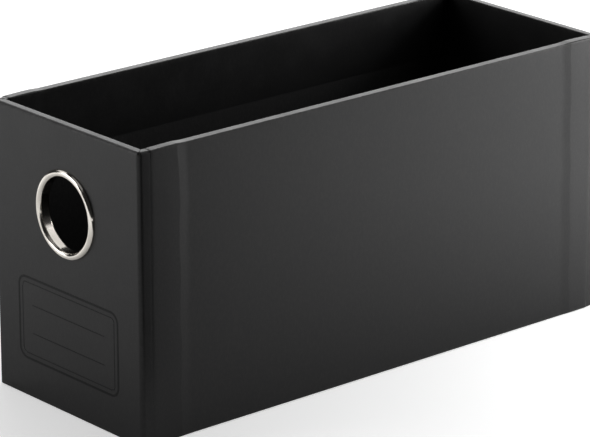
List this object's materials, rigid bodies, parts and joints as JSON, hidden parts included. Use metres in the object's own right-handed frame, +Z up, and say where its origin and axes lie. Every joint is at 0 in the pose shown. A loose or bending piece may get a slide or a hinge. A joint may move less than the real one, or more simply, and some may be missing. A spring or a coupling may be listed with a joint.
{
  "type": "card storage drawer",
  "caption": "Long open-topped drawer box of black paper-covered board with a round metal finger pull in its front, for cards stored on edge.",
  "frame": {"origin": "centre of the base, on the surface that the drawer stands on", "axes": "+Z up, +Y from the front with the finger ring towards the rear, +X to the right of someone facing the front"},
  "size_m": [0.082, 0.2163, 0.105],
  "materials": {
    "board": "raw grey board",
    "cover": "satin black covering paper",
    "lining": "matt black lining paper",
    "stay": "brown gummed tape",
    "ring": "bright nickel-plated steel"
  },
  "bodies": {
    "root": {"base_board": "board", "front_board": "board", "rear_board": "board", "left_board": "board", "right_board": "board", "front_lining": "lining", "rear_lining": "lining", "left_lining": "lining", "right_lining": "lining", "base_lining": "lining", "corner_stay_front_left": "stay", "corner_stay_front_right": "stay", "corner_stay_rear_left": "stay", "corner_stay_rear_right": "stay", "front_cover": "cover", "rear_cover": "cover", "left_cover": "cover", "right_cover": "cover", "base_infill": "board", "base_cover": "cover", "finger_ring": "ring"}
  },
  "joints": []
}
